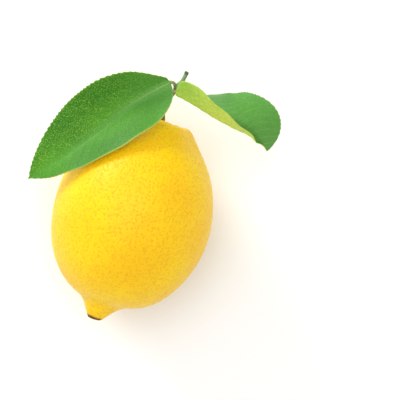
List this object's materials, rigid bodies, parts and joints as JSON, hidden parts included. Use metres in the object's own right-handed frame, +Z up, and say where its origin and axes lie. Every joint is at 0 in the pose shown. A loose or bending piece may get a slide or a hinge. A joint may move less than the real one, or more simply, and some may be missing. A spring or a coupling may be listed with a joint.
{
  "type": "lemon with leaves",
  "caption": "Whole lemon with nipple and furrowed collar, calyx, short twig and leaves, lying on its side.",
  "frame": {"origin": "centre of the small flat spot on the fruit's belly, which it rests on", "axes": "+Z up, away from the surface it lies on; +Y along the fruit's long axis, from the nipple towards the stem end; +X to the right, seen from above with the stem end away"},
  "size_m": [0.0852, 0.0991, 0.0599],
  "materials": {
    "peel": "satin",
    "calyx": "matte",
    "twig": "matte",
    "stalk": "matte",
    "leaf": "satin"
  },
  "bodies": {
    "root": {"fruit": "peel", "calyx": "calyx", "twig": "twig", "stalk_left": "stalk", "stalk_right": "stalk", "leaf_left": "leaf", "leaf_right": "leaf"}
  },
  "joints": []
}
